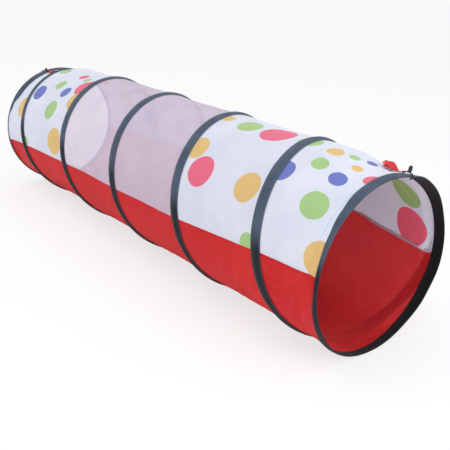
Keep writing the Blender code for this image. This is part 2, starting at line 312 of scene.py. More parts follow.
@dataclass(frozen=True)
class Taffeta(Finish):
    """Plain-woven polyester taffeta: a dry, faintly shiny cloth whose print lies in the weave.

    Real taffeta has about 25 threads to the centimetre. The weave is drawn four times as coarse,
    or it wouldn't show. The cloth is thin, so daylight outside glows through to the inside.
    """

    dots: tuple[Dot, ...] = ()
    print_radius: float = 0.24
    thread: float = 1.6 * MM
    print_edge: float = 0.8 * MM
    print_cover: float = 0.94
    seam: float = 15.0 * MM
    stitch: float = 5.0 * MM
    glow: float = 0.62
    glow_depth: float = 3.0 * MM
    shine: float = 0.3

    def draw(self, graph: Graph) -> None:
        """Add the finish's nodes, with its print, its weave and the stitches that hold the casing.

        Args:
            graph: The material's node tree.
        """
        lay, x, arc = graph.lay()
        colour = self.mottled(graph, 0.12, 0.5)
        for dot in self.dots:
            middle = (dot.x, math.radians(dot.angle) * self.print_radius, 0.0)
            away = graph.add("VectorMath", {0: lay, 1: middle}, "Value", operation="DISTANCE")
            rim = {"From Min": dot.radius + self.print_edge, "From Max": dot.radius - self.print_edge}
            cover = {"Value": away, **rim, "To Max": self.print_cover}
            inside = graph.add("MapRange", cover, interpolation_type="SMOOTHSTEP")
            colour = graph.add("Mix", {0: inside, 6: colour, 7: dot.colour}, 2, data_type="RGBA")
        distance = graph.add("Attribute", {}, "Fac", attribute_name=WIRE_DISTANCE)
        sewn = graph.stitches(arc, distance, (self.seam,), self.stitch)
        waves = {0: graph.wave(x, self.thread), 1: graph.wave(arc, self.thread)}
        weave = graph.add("Math", waves, operation="MULTIPLY")
        wrinkles = {"Vector": lay, "Scale": 70.0, "Detail": 4.0, "Roughness": 0.6}
        crumple = graph.add("TexNoise", wrinkles, "Fac")
        threads = graph.summed((sewn, 0.7))
        self.paint(
            graph,
            graph.add("Mix", {0: threads, 6: colour, 7: Colour.THREAD}, 2, data_type="RGBA"),
            graph.summed((weave, 0.12), (crumple, 1.3), (sewn, 1.0)),
            0.7 * MM,
            Subsurface_Weight=self.glow,
            Subsurface_Radius=(1.0, 1.0, 1.0),
            Subsurface_Scale=self.glow_depth,
            Sheen_Weight=0.04,
            Sheen_Roughness=0.4,
            Specular_IOR_Level=self.shine,
        )


@dataclass(frozen=True)
class Netting(Finish):
    """Knitted polyester netting: pale threads round small holes, which let the far wall show.

    Its real holes are about 1 mm across. They are drawn at 3 mm, and each hole keeps some of the
    thread's colour, so that the net is as see-through as the real one.
    """

    hole: float = 3.0 * MM
    hole_cover: float = 0.14

    def draw(self, graph: Graph) -> None:
        """Add the finish's nodes: holes in a hexagonal lay by the shader's Alpha.

        Args:
            graph: The material's node tree.
        """
        _, x, arc = graph.lay()
        slope = math.radians(60)
        slants = [graph.summed((x, math.cos(slope)), (arc, up)) for up in (0.866, -0.866)]
        threads = graph.summed(*((graph.wave(way, self.hole), 1.0) for way in (x, *slants)))
        place = graph.add("TexCoord", {}, "Object")
        crumple = graph.add("TexNoise", {"Vector": place, "Scale": 60.0, "Detail": 3.0}, "Fac")
        solid = {"Value": threads, "From Min": -0.5, "From Max": 0.7, "To Min": self.hole_cover}
        self.paint(
            graph,
            self.mottled(graph, 0.1, 0.6),
            graph.summed((threads, 0.15), (crumple, 1.0)),
            0.6 * MM,
            Alpha=graph.add("MapRange", solid),
            Sheen_Weight=0.1,
            Specular_IOR_Level=0.2,
        )


@dataclass(frozen=True)
class SewnTape(Finish):
    """Grosgrain tape: tightly woven polyester with ribs across it, dull, with lockstitched edges.

    A real rib is about 0.6 mm. It is drawn at 1.5 mm, or it wouldn't show. Low down it gets painted
    shade.
    """

    rows: tuple[float, ...] = ()
    lining_from: float = 1.0
    lining: Colour = Colour.BLACK
    # Below this height the colour fades to black over the fade width: painted shade on the underside,
    # which faces away from the lamps. A height of -1 paints none.
    painted_shade_under: float = -1.0
    painted_shade_fade: float = 25.0 * MM
    rib: float = 1.5 * MM
    stitch: float = 4.5 * MM

    def draw(self, graph: Graph) -> None:
        """Add the finish's nodes: the ribs, the stitching, painted shade low down and the darker
        lining, if there is one.

        Args:
            graph: The material's node tree.
        """
        _, along, girth = graph.lay()
        place = graph.add("TexCoord", {}, "Object")
        height = graph.add("SeparateXYZ", {"Vector": place}, "Z")
        edge = 0.5 * MM
        # The first band is painted shade, near-black below a height. The second is the black lining
        # past the fold's front.
        dark = (
            (height, self.painted_shade_under + self.painted_shade_fade, self.painted_shade_under - self.painted_shade_fade, 0.9),
            (girth, self.lining_from - edge, self.lining_from + edge, 1.0),
        )
        colour = self.mottled(graph, 0.06, 0.6)
        for value, start, stop, most in dark:
            band = {"Value": value, "From Min": start, "From Max": stop, "To Max": most}
            share = graph.add("MapRange", band)
            colour = graph.add("Mix", {0: share, 6: colour, 7: self.lining}, 2, data_type="RGBA")
        sewn = graph.stitches(along, girth, self.rows, self.stitch)
        fuzz = graph.add("TexNoise", {"Vector": place, "Scale": 220.0, "Detail": 3.0}, "Fac")
        self.paint(
            graph,
            graph.add("Mix", {0: sewn, 6: colour, 7: Colour.THREAD}, 2, data_type="RGBA"),
            graph.summed((graph.wave(along, self.rib), 0.25), (fuzz, 0.6), (sewn, 1.0)),
            0.5 * MM,
            Sheen_Weight=0.08,
            Sheen_Roughness=0.5,
            Specular_IOR_Level=0.18,
        )


@dataclass(frozen=True)
class Satin(Finish):
    """Satin ribbon: long floating threads across it, so that it shines in bands along its folds."""

    float_spacing: float = 0.8 * MM
    unevenness: float = 0.12

    def draw(self, graph: Graph) -> None:
        """Add the finish's nodes: fine threads and a streaked shine.

        Args:
            graph: The material's node tree.
        """
        _, along, across = graph.lay()
        streaks = graph.wave(across, 7 * self.float_spacing)
        shine = {"Value": streaks, "From Min": -1.0, "To Min": self.roughness}
        shine["To Max"] = self.roughness + self.unevenness
        self.paint(
            graph,
            self.mottled(graph, 0.01, 0.7),
            graph.wave(along, self.float_spacing),
            0.1 * MM,
            strength=0.4,
            Roughness=graph.add("MapRange", shine),
            Sheen_Weight=0.2,
        )


@dataclass(frozen=True)
class DrawnSteel(Finish):
    """Drawn or plated steel: a clean metal with fine lines from the die and a few dull patches."""

    line: float = 0.7 * MM

    def draw(self, graph: Graph) -> None:
        """Add the finish's nodes: fine scratches in the roughness and the bump.

        Args:
            graph: The material's node tree.
        """
        place = graph.add("TexCoord", {}, "Object")
        drawn = {"Vector": place, "Scale": 1 / self.line, "Detail": 2.0, "Roughness": 0.7}
        lines = graph.add("TexNoise", drawn, "Fac")
        shine = {"Value": lines, "To Min": self.roughness - 0.08, "To Max": self.roughness + 0.12}
        self.paint(
            graph,
            self.mottled(graph, 0.008, 0.8),
            lines,
            0.05 * MM,
            Roughness=graph.add("MapRange", shine),
            Metallic=1.0,
        )


@dataclass(frozen=True)
class Coil:
    """Where the spring wire runs, which every sewn piece follows.

    It is flat round each end, and it climbs at a steady pitch between. The tube is drawn in a
    little at both mouths, and every turn and mouth rests on the floor.
    """

    ring_x: float
    radius: float
    mouth_radius: float
    hem_edge: float
    turns: int = 5
    start: float = -82.5
    cover: float = 30.0
    wedge_tip: float = 14.3
    taper: float = 0.12
    front_twist: float = 1.5
    bend_from: float = -0.2
    far_slant: float = -7.7
    near_slant: float = -10.5
    near_bend: float = 2.3
    back_slant: float = -5.5
    dip: float = 6.0
    dip_from: float = 0.55
    dip_length: float = 0.17

    @property
    def end(self) -> float:
        """Angle at which the coil runs into the near end's loop."""
        return self.start + self.turns * FULL_TURN

    @property
    def pitch(self) -> float:
        """How far the coil climbs in a turn."""
        return 2 * self.ring_x / self.turns

    def x_at(self, angle: float) -> float:
        """Return the wire's place along the tunnel at an angle."""
        turned = min(max(angle, self.start), self.end) - self.start
        return -self.ring_x + self.pitch * turned / FULL_TURN

    def radius_at(self, x: float) -> float:
        """Return the tube's outer radius at a place along the tunnel."""
        straight = self.hem_edge - self.pitch * self.cover / FULL_TURN
        share = min(max((straight - abs(x)) / self.taper, 0.0), 1.0)
        return self.mouth_radius + (self.radius - self.mouth_radius) * share

    def place(self, angle: float, x: float, depth: float, outer: float = 0.0) -> Vector:
        """Return the point at an angle, a place along the tunnel and a depth under its surface.

        Args:
            angle: The angle.
            x: The place along the tunnel.
            depth: The depth.
            outer: The surface's radius, or 0 for the tube's own.

        Returns:
            The point.
        """
        turn = math.radians(angle)
        outer = outer or self.radius_at(x)
        reach = outer - depth
        return Vector((x, -reach * math.sin(turn), outer + reach * math.cos(turn)))

    def on_cylinder(self, angle: float, x: float, depth: float) -> Vector:
        """Return the same point on the plain cylinder that a sweep is spun on."""
        return self.place(angle, x, depth, self.radius)

    def carry(
        self, bm: Mesh, parts: list, turn: float, climb: float, steps: int, closed: bool = False
    ) -> list:
        """Spin an outline round the plain cylinder's axis.

        Args:
            bm: The mesh.
            parts: The outline's vertices and edges.
            turn: How many degrees it is carried.
            climb: How far it moves along the tunnel meanwhile.
            steps: How many steps it takes.
            closed: Whether its end meets its start.

        Returns:
            The outline where it ends.
        """
        return bmesh.ops.spin(
            bm,
            geom=parts,
            cent=(0.0, 0.0, self.radius),
            axis=(1.0, 0.0, 0.0),
            dvec=(climb / steps, 0.0, 0.0),
            angle=math.radians(turn),
            steps=steps,
            use_merge=closed,
        )["geom_last"]

    def drawn_in(self, spot: Vector) -> Vector:
        """Return where a point of the plain cylinder lies on the tube."""
        depth = self.radius - math.hypot(spot.y, spot.z - self.radius)
        return self.place(self.angle_of(spot, 0.0), spot.x, depth)

    def twist(self, angle: float, x: float) -> float:
        """Return how far the cloth has turned on the wire at a place, in degrees.

        The long seams slant and bend, because the cloth is sewn on a little askew.

        Args:
            angle: The angle at which the cloth would lie if it were straight.
            x: The place along the tunnel.

        Returns:
            The turn.
        """
        across = math.sin(math.radians(angle))
        if across < 0.0:
            share = min(max((x - self.dip_from) / self.dip_length, 0.0), 1.0)
            lowered = self.dip * share * share * (3 - 2 * share)
            return (self.back_slant * x + lowered) * across
        past = x - self.bend_from
        if past > 0.0:
            return (self.front_twist + self.near_slant * past**self.near_bend) * across
        return (self.front_twist + self.far_slant * past) * across

    def angle_of(self, place: Vector, first: float) -> float:
        """Return a point's angle round the tunnel, from a hair before first to a turn past it."""
        turn = math.degrees(math.atan2(-place.y, place.z - self.radius))
        hair = 0.01
        return first - hair + (turn - first + hair) % FULL_TURN


@dataclass(frozen=True)
class Collapse:
    """How the soft pieces close up between the hems as the far end slides to the near one."""

    joint: str
    travel: float
    shares: dict[str, float]
    edge: float

    def fold(self, piece: Piece, body: str) -> None:
        """Give a piece its own copy of its mesh."""
        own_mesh(piece)


def make_piece(name: str, bm: Mesh, material: Look, thickness: float = 0.0) -> Piece:
    """Turn a bmesh that holds world places into a smooth piece.

    Args:
        name: The piece's name.
        bm: Its mesh, which is freed.
        material: Its finish.
        thickness: Where it is above zero, the wall that a sheet gets on its inner side.

    Returns:
        The new object.
    """
    mesh = bpy.data.meshes.new(name)
    bm.to_mesh(mesh)
    bm.free()
    mesh.materials.append(material)
    piece = bpy.data.objects.new(name, mesh)
    bpy.context.collection.objects.link(piece)
    if thickness > 0.0:
        wall = piece.modifiers.new("wall", "SOLIDIFY")
        wall.thickness = thickness
        wall.offset = -1.0
        settled = piece.evaluated_get(bpy.context.evaluated_depsgraph_get())
        solid = bpy.data.meshes.new_from_object(settled)
        piece.modifiers.clear()
        piece.data = solid
    piece.data.shade_smooth()
    piece.data.set_sharp_from_angle(angle=math.radians(SHARP_ANGLE))
    return piece


def seat(piece: Piece, body: str, slot: Slot, *nodes: str) -> Piece:
    """Put a piece on its body, in place of the CAD nodes that it stands for.

    Args:
        piece: The finished piece.
        body: The body that it rides on.
        slot: The record's material slot; not used.
        *nodes: The CAD nodes that it replaces.

    Returns:
        The piece.
    """
    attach(piece, body)
    if nodes:
        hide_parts(*nodes)
    LOG.info("%s rides on %s for %s", piece.name, body, ", ".join(nodes) or "no node")
    return piece


def cap(bm: Mesh, parts: list) -> None:
    """Close the open end of a swept outline with a face."""
    rim = [part for part in parts if isinstance(part, bmesh.types.BMEdge)]
    bmesh.ops.contextual_create(bm, geom=rim)


def lay_out(bm: Mesh, along: Callable, across: Callable, period: float | None = None) -> None:
    """Write the lay, a UV map in metres.

    Args:
        bm: The mesh.
        along: Gives a vertex's first coordinate.
        across: Gives its second one.
        period: Where the second one runs round a section, the length after which it starts again.
    """
    lay = bm.loops.layers.uv.get(LAY) or bm.loops.layers.uv.new(LAY)
    for face in bm.faces:
        rounds = [across(loop.vert) for loop in face.loops]
        runs = [along(loop.vert) for loop in face.loops]
        wraps = period is not None and max(rounds) - min(rounds) > period / 2
        for loop, run, turn in zip(face.loops, runs, rounds):
            loop[lay].uv = (run, turn + period if wraps and turn < period / 2 else turn)


@dataclass(frozen=True)
class Sweep:
    """A closed section of (across, depth), carried round the tunnel straight or as a coil."""

    section: Pairs
    start: float
    end: float
    step: float = 3.0

    def build(
        self,
        coil: Coil,
        climb: float,
        begin_x: float,
        shape: Callable[[float, float, float], tuple[float, float]],
    ) -> Mesh:
        """Spin the section round the tunnel's axis and shape what comes out.

        Args:
            coil: The wire that it follows.
            climb: How far it moves along the tunnel from start to end.
            begin_x: Its middle's place along the tunnel at the start.
            shape: Gives the final x and depth for an angle, an x and a depth.

        Returns:
            The closed mesh, with its lay.
        """
        bm = bmesh.new()
        across_layer = bm.verts.layers.float.new("across")
        girth_layer = bm.verts.layers.float.new("girth")
        angle_layer = bm.verts.layers.float.new("angle")
        ring = []
        girth = 0.0
        for number, (across, depth) in enumerate(self.section):
            if number:
                before = self.section[number - 1]
                girth += math.dist(before, (across, depth))
            vert = bm.verts.new(coil.on_cylinder(self.start, begin_x + across, depth))
            vert[across_layer] = across
            vert[girth_layer] = girth
            ring.append(vert)
        period = girth + math.dist(self.section[-1], self.section[0])
        edges = [bm.edges.new(pair) for pair in zip(ring, ring[1:] + ring[:1])]
        steps = round((self.end - self.start) / self.step)
        closed = self.end - self.start >= FULL_TURN and climb == 0.0
        if not closed:
            bm.faces.new(ring)
        last = coil.carry(bm, ring + edges, self.end - self.start, climb, steps, closed)
        if not closed:
            cap(bm, last)
        for vert in bm.verts:
            across = vert[across_layer]
            if climb:
                share = (vert.co.x - begin_x - across) / climb
                angle = self.start + (self.end - self.start) * share
            else:
                angle = coil.angle_of(vert.co, self.start)
            depth = coil.radius - math.hypot(vert.co.y, vert.co.z - coil.radius)
            vert[angle_layer] = angle
            x, depth = shape(angle, vert.co.x, depth)
            vert.co = coil.place(angle, x, depth)
        lay_out(
            bm,
            lambda vert: math.radians(vert[angle_layer]) * coil.radius,
            lambda vert: vert[girth_layer],
            period,
        )
        bmesh.ops.recalc_face_normals(bm, faces=bm.faces[:])
        return bm


@dataclass(frozen=True)
class Pull:
    """One pulled fold in the cloth: a ridge between two places of (x, angle), high in its middle."""

    start: tuple[float, float]
    end: tuple[float, float]
    height: float = 2.5 * MM
    half_width: float = 7.0 * MM
    hollow: float = 0.45

    def rise(self, x: float, arc: float, radius: float) -> float:
        """Return how far the fold lifts the cloth at a place, with a hollow along both sides.

        Args:
            x: The place along the tunnel.
            arc: The place round it, in metres.
            radius: The radius that turns the fold's angles into metres.

        Returns:
            The lift in metres.
        """
        low, high = sorted((self.start[0], self.end[0]))
        spread = 4 * self.half_width
        if not low - spread < x < high + spread:
            return 0.0
        first, last = (Vector((at, math.radians(a) * radius)) for at, a in (self.start, self.end))
        along = last - first
        off = Vector((x, arc)) - first
        share = off.dot(along) / along.length_squared
        if not 0.0 < share < 1.0:
            return 0.0
        away = (off - along * share).length / self.half_width
        ridge = math.exp(-away * away) - self.hollow * math.exp(-((away - 2.0) ** 2))
        return self.height * ridge * math.sin(math.pi * share)


def lumps(place: tuple[float, float], waves: tuple[float, float], seed: float) -> float:
    """Return smooth noise from -1 to 1, with a number of waves to the metre in each direction."""
    return noise.noise(Vector((place[0] * waves[0], place[1] * waves[1], seed)))


@dataclass(frozen=True)
class Cloth:
    """The tunnel's cloth: how it is drawn in between the turns, and how it creases."""

    coil: Coil
    depth: float = 6.1 * MM
    waist: float = 2.5 * MM
    covered: float = 15.0 * MM
    crease: float = 1.1 * MM
    pucker: float = 1.3 * MM
    swell: float = 2.6 * MM
    counter_share: float = 0.7
    floor_creasing: float = 1.4
    gather_reach: float = 22.0 * MM
    bias: tuple[float, float] = (0.72, 0.69)
    swell_waves: tuple[float, float] = (7.0, 6.0)
    crease_waves: tuple[float, float] = (42.0, 7.0)
    counter_waves: tuple[float, float] = (8.0, 38.0)
    gather_waves: tuple[float, float] = (14.0, 95.0)
    pulls: tuple[Pull, ...] = ()
    pull_radius: float = 0.245

    @property
    def radius(self) -> float:
        """Return the radius at which the cloth's print is measured."""
        return self.coil.radius - self.depth

    def depth_at(self, edges: tuple[float, float], share: float, angle: float, x: float) -> float:
        """Return how deep the cloth lies at a place.

        Args:
            edges: Its two edges at the angle.
            share: The place's share of the way between them.
            angle: The place round the tunnel.
            x: The place along it.

        Returns:
            The depth in metres.
        """
        left, right = edges
        waist = self.waist * min(1.0, (right - left) / self.coil.pitch) * 4 * share * (1 - share)
        arc = math.radians(angle) * self.radius
        floor = max(0.0, -math.cos(math.radians(angle)))
        return self.depth + waist + self.creases(x, arc, min(x - left, right - x), floor)

    def creases(self, x: float, arc: float, off_wire: float, floor: float) -> float:
        """Return how far the cloth's creases move it inwards at a place.

        Args:
            x: The place along the tunnel.
            arc: The place round it, in metres.
            off_wire: How far it is from the nearest wire or hem.
            floor: From 0 on the upper cloth to 1 under the floor, where it creases more.

        Returns:
            The move in metres.
        """
        free = min(max((off_wire - self.covered) / self.covered, 0.0), 1.0)
        if free == 0.0:
            return 0.0
        lean, stay = self.bias
        slant = (x * lean + arc * stay, arc * lean - x * stay)
        broad = lumps((x, arc), self.swell_waves, 1.7)
        pulled = lumps(slant, self.crease_waves, 4.1)
        counter = lumps(slant, self.counter_waves, 9.3)
        gathers = lumps((x, arc), self.gather_waves, 2.2) * math.exp(-off_wire / self.gather_reach)
        sharp = (0.5 - abs(pulled)) + self.counter_share * (0.5 - abs(counter))
        moved = self.swell * broad + self.crease * sharp * (1 + self.floor_creasing * floor)
        moved -= sum(pull.rise(x, arc, self.pull_radius) for pull in self.pulls)
        return (moved + self.pucker * gathers) * free


@dataclass(frozen=True)
class Panel:
    """One bay of cloth between two turns of the wire."""

    coil: Coil
    name: str
    node: str
    body: str
    bay: int
    start: float
    end: float
    thickness: float = 0.8 * MM
    mesh_step: float = 5.0 * MM
    seam_gap: float = 0.15 * MM

    def wires(self, angle: float) -> tuple[float, float]:
        """Return the places of the two turns beside the bay at an angle."""
        before, after = angle + (self.bay - 1) * FULL_TURN, angle + self.bay * FULL_TURN
        return self.coil.x_at(before), self.coil.x_at(after)

    def edges(self, angle: float) -> tuple[float, float]:
        """Return the cloth's two edges at an angle: under the wire, or beside a hem."""
        inside = self.coil.hem_edge - 2 * self.seam_gap
        before, after = self.wires(angle)
        return max(before + self.seam_gap, -inside), min(after - self.seam_gap, inside)

    def flat(self) -> tuple[tuple[float, float], float]:
        """Work out what the panel was cut to.

        Returns:
            Its width and length, and its area.
        """
        first, last = (self.edges(angle) for angle in (self.start, self.end))
        widths = (first[1] - first[0], last[1] - last[0])
        middle = self.edges((self.start + self.end) / 2)
        length = math.radians(self.end - self.start) * self.coil.radius
        area = (widths[0] + 4 * (middle[1] - middle[0]) + widths[1]) / 6 * length
        widest = max(*widths, middle[1] - middle[0])
        return (widest, length), min(area, widest * length)

    def build(self, cloth: Cloth, material: Look) -> Piece:
        """Build the cloth from a grid that is creased flat and then wrapped on the tunnel.

        Args:
            cloth: How it lies.
            material: Its finish.

        Returns:
            The piece.
        """
        coil = self.coil
        (width, length), _ = self.flat()
        bm = bmesh.new()
        bmesh.ops.create_grid(
            bm,
            x_segments=max(round(width / self.mesh_step), 8),
            y_segments=round(length / self.mesh_step),
            size=0.5,
        )
        bmesh.ops.reverse_faces(bm, faces=bm.faces[:])
        distance = bm.verts.layers.float.new(WIRE_DISTANCE)
        for vert in bm.verts:
            angle = self.start + (self.end - self.start) * (vert.co.y + 0.5)
            share = vert.co.x + 0.5
            left, right = self.edges(angle)
            angle += coil.twist(angle, left + (right - left) * share)
            left, right = self.edges(angle)
            x = left + (right - left) * share
            before, after = self.wires(angle)
            vert[distance] = min(x - before, after - x)
            vert.co = (x, angle, cloth.depth_at((left, right), share, angle, x))
        lay_out(bm, lambda vert: vert.co.x, lambda vert: math.radians(vert.co.y) * cloth.radius)
        for vert in bm.verts:
            x, angle, depth = vert.co
            vert.co = coil.place(angle, x, depth)
        return make_piece(self.name, bm, material, self.thickness)


@dataclass(frozen=True)
class Casing:
    """The navy tape sewn round the spring wire."""

    coil: Coil
    half_width: float = 17.5 * MM
    thickness: float = 5.6 * MM
    wander: float = 0.5 * MM
    hem_gap: float = 0.3 * MM
    crown_shares: Pairs = (
        (-1.0, 0.9), (-0.98, 0.78), (-0.78, 0.6), (-0.5, 0.33), (-0.25, 0.08), (0.0, 0.0),
        (0.25, 0.08), (0.5, 0.33), (0.78, 0.6), (0.98, 0.78), (1.0, 0.9), (0.97, 0.99), (0.5, 1.0),
        (0.0, 1.0), (-0.5, 1.0), (-0.97, 0.99),
    )

    def ripple(self, angle: float, x: float) -> float:
        """Return how far the hand-sewn tape wanders at a place."""
        return self.wander * noise.noise(Vector((angle / 7, x * 9, 0.4)))

    def coil_section(self) -> Pairs:
        """Return the coil tape's section: a low tent over the wire with flat sewn edges."""
        return tuple((x * self.half_width, d * self.thickness) for x, d in self.crown_shares)

    def add_turn(self, number: int, start: float, end: float, material: Look) -> Piece:
        """Add one turn of the coil's tape, kept off the hem that it runs beside.

        Args:
            number: Which turn it is.
            start: Its first angle.
            end: Its last angle.
            material: Its finish.

        Returns:
            The piece.
        """
        coil = self.coil
        stop = coil.hem_edge - self.hem_gap

        def shape(angle: float, x: float, depth: float) -> tuple[float, float]:
            moved = x + self.ripple(angle, 1.0) * (1 if depth < 0.9 * self.thickness else 0)
            lifted = depth + 0.5 * self.ripple(angle * 2, x * 3) * (depth > 0.2 * MM)
            return min(max(moved, -stop), stop), min(lifted, self.thickness)

        climb = coil.pitch * (end - start) / FULL_TURN
        sweep = Sweep(self.coil_section(), start, end)
        return make_piece(
            f"casing_tape_{number}", sweep.build(coil, climb, coil.x_at(start), shape), material
        )


def around(pairs: Pairs, angle: float) -> float:
    """Return a value that changes smoothly between its key places round a mouth.

    Args:
        pairs: Angles from -180 to 180 and the value at each, in order.
        angle: The angle to look up.

    Returns:
        The value there.
    """
    half = FULL_TURN / 2
    turned = (angle + half) % FULL_TURN - half
    for (first, low), (last, high) in zip(pairs, pairs[1:]):
        if turned <= last:
            part = (turned - first) / (last - first)
            return low + (high - low) * part * part * (3 - 2 * part)
    return pairs[-1][1]


@dataclass(frozen=True)
class Hem:
    """The tape folded over the cloth's edge and the end loop of the wire, round one mouth.

    It was sewn on by hand: its outer and inner lips change in width round the mouth, and at the
    front the fold is drawn back to the wire, so that the cloth shows beside it.
    """

    coil: Coil
    side: int
    half_width: float = 17.5 * MM
    fold: float = 1.0 * MM
    crown: float = 0.3 * MM
    girdle: float = 6.4 * MM
    rounding: float = 1.5
    back_fall: float = 5.0 * MM
    front_fall: float = 2.6 * MM
    inner_back: float = 2.6 * MM
    inner_front: float = 1.0 * MM
    wander: float = 0.9 * MM
    face_shares: tuple[float, ...] = (-1.0, -0.8, -0.5, -0.2, 0.0, 0.2, 0.5, 0.72, 0.88)
    reach: float = 30.0 * MM
    loose_from: float = 2.0 * MM
    outer_mm: Pairs = (
        (-180, 20.0), (-120, 14.0), (-60, 16.0), (-22, 28.0), (28, 28.0), (44, 19.0), (60, 13.0),
        (75, 9.5), (92, 9.0), (106, 12.0), (118, 15.0), (132, 22.0), (180, 20.0),
    )
    inner_mm: Pairs = (
        (-180, 18.0), (-160, 21.0), (-135, 30.0), (-60, 31.0), (-30, 33.0), (0, 16.0), (60, 22.0),
        (80, 20.0), (110, 28.0), (150, 15.0), (180, 18.0),
    )
    front_mm: Pairs = (
        (-180, 4.5), (-150, 5.0), (-122, 11.0), (-98, 17.0), (126, 17.0), (150, 8.0), (180, 4.5),
    )
    flare_mm: Pairs = ((-180, 0.0), (-68, 0.0), (-42, 8.0), (-28, 8.0), (-10, 0.0), (180, 0.0))

    def crest(self, across: float) -> float:
        """Return the outer face's depth at a distance from the wire, positive to the mouth."""
        share = min(abs(across) / self.half_width, 1.0) ** self.rounding
        return self.crown + share * (self.back_fall if across < 0.0 else self.front_fall)

    def base(self, across: float) -> float:
        """Return the inner face's depth at a distance from the wire."""
        share = min(abs(across) / self.half_width, 1.0) ** self.rounding
        return self.girdle + share * (self.inner_back if across < 0.0 else self.inner_front)

    def flare(self, angle: float, across: float, front: float) -> float:
        """Return how far the loose fold stands out, past the wire, at the top of the mouth."""
        past = max(across - self.loose_from, 0.0) / max(front - self.loose_from, self.fold)
        return around(self.flare_mm, angle) * MM * min(past, 1.0)

    def front_face(self) -> list[tuple[float, float]]:
        """Return the rounded front of the fold, from its outer side to its inner one."""
        top, bottom = self.crest(self.half_width), self.base(self.half_width)
        rounded = ((0.97, 0.22), (1.0, 0.5), (0.97, 0.78))
        return [(x * self.half_width, top + (bottom - top) * deep) for x, deep in rounded]

    def section(self) -> Pairs:
        """Draw the folded tape's section at its full width: a U lying on its side.

        Returns:
            Its corners, as places along the tunnel from the wire and depths.
        """
        faces = [share * self.half_width for share in self.face_shares]
        within = (-self.half_width, 0.0, 0.72 * self.half_width)
        outline = [(x, self.crest(x)) for x in faces]
        outline += self.front_face()
        outline += [(x, self.base(x)) for x in reversed(faces)]
        outline += [(x, self.base(x) - self.fold) for x in within]
        outline += [(x, self.crest(x) + self.fold) for x in reversed(within)]
        return tuple((self.side * x, depth) for x, depth in outline)

    def shaper(self, move: Callable) -> Callable:
        """Return the shape of a sweep that is drawn back and flared round the mouth.

        Args:
            move: Gives a place's new distance from the wire, and the fold's front there, for its
                angle, its distance and whether it is on the outer side.

        Returns:
            What gives the final x and depth for an angle, an x and a depth.
        """
        hair = 0.01 * MM
        side, ring_x = self.side, self.coil.ring_x

        def shape(angle: float, x: float, depth: float) -> tuple[float, float]:
            across = side * x - ring_x
            outer = depth <= (self.crest(across) + self.base(across)) / 2 + hair
            face = self.crest if outer else self.base
            moved, front = move(angle, across, outer)
            deeper = face(moved) - face(across) - self.flare(angle, moved, front)
            return side * (ring_x + moved), depth + deeper

        return shape

    def girth_to_front(self) -> float:
        """Return how far round the section the fold's front is, where the dark lining starts."""
        count = len(self.face_shares) + 2
        run = self.section()[:count]
        return sum(math.dist(one, other) for one, other in zip(run, run[1:]))

    def add_tape(self, name: str, material: Look) -> Piece:
        """Add the folded tape all the way round one mouth of the tunnel.

        Args:
            name: The piece's name.
            material: Its finish.

        Returns:
            The piece.
        """

        def move(angle: float, across: float, outer: bool) -> tuple[float, float]:
            turn = math.radians(angle)
            ripple = noise.noise(Vector((4 * math.cos(turn), 4 * math.sin(turn), 3.0 + outer)))
            width = around(self.outer_mm if outer else self.inner_mm, angle) * MM
            front = around(self.front_mm, angle) * MM
            share = (across + self.half_width) / (2 * self.half_width)
            moved = front - (width + self.wander * ripple) * (1 - share)
            return max(moved, -self.reach if outer else -self.half_width), front

        shape = self.shaper(move)
        sweep = Sweep(self.section(), 0.0, FULL_TURN)
        bm = sweep.build(self.coil, 0.0, self.side * self.coil.ring_x, shape)
        return make_piece(name, bm, material)

    def add_collar(self, name: str, ends: tuple[float, float], material: Look) -> Piece:
        """Add the cloth's edge between the tape's two lips, over the wire.

        Args:
            name: The piece's name.
            ends: The angles of the two long seams that it runs between.
            material: The cloth's finish.

        Returns:
            The piece.
        """
        slack = 0.05 * MM
        reach = 5.0 * MM
        faces = [share * self.half_width for share in self.face_shares[:8]]
        outline = [(x, self.crest(x) + self.fold + slack) for x in faces]
        outline += [(x, self.base(x) - self.fold - slack) for x in reversed(faces)]

        def move(angle: float, across: float, _: bool) -> tuple[float, float]:
            front = around(self.front_mm, angle) * MM
            share = (across + self.half_width) / (faces[-1] + self.half_width)
            return -self.half_width + (front - reach + self.half_width) * share, front

        shape = self.shaper(move)
        section = tuple((self.side * x, depth) for x, depth in outline)
        bm = Sweep(section, *ends).build(self.coil, 0.0, self.side * self.coil.ring_x, shape)
        angles = bm.verts.layers.float["angle"]
        radius = Cloth(self.coil).radius
        lay_out(bm, lambda vert: vert.co.x, lambda vert: math.radians(vert[angles]) * radius)
        return make_piece(name, bm, material)


@dataclass(frozen=True)
class JointWrap:
    """The wider wrap where the coil leaves an end loop, over both tapes and the ferrule."""

    coil: Coil
    side: int
    half_width: float = 17.8 * MM
    over_hem: float = 4.0 * MM
    past_joint: float = 15.0
    section: Pairs = (
        (0.0, 6.2), (0.1, 3.4), (0.28, 0.0), (0.5, -0.6), (0.8, -0.6), (1.0, -0.1), (1.0, 0.9),
        (0.8, 0.4), (0.5, 0.4), (0.28, 1.0), (0.1, 4.3), (0.0, 7.0),
    )

    def build(self, name: str, material: Look) -> Piece:
        """Build the wrap, whose inner edge follows the coil as it leaves the loop.

        Args:
            name: The piece's name.
            material: Its finish.

        Returns:
            The piece.
        """
        coil, side = self.coil, self.side
        joint = coil.end if side > 0 else coil.start
        before, after = (coil.cover, self.past_joint)[::side]

        def shape(angle: float, x: float, depth: float) -> tuple[float, float]:
            share = side * x / coil.ring_x
            inner = side * coil.x_at(angle) - self.half_width
            outer = coil.ring_x + self.over_hem
            return side * (inner + (outer - inner) * share), depth

        section = tuple((side * share * coil.ring_x, depth * MM) for share, depth in self.section)
        bm = Sweep(section, joint - before, joint + after).build(coil, 0.0, 0.0, shape)
        return make_piece(name, bm, material)


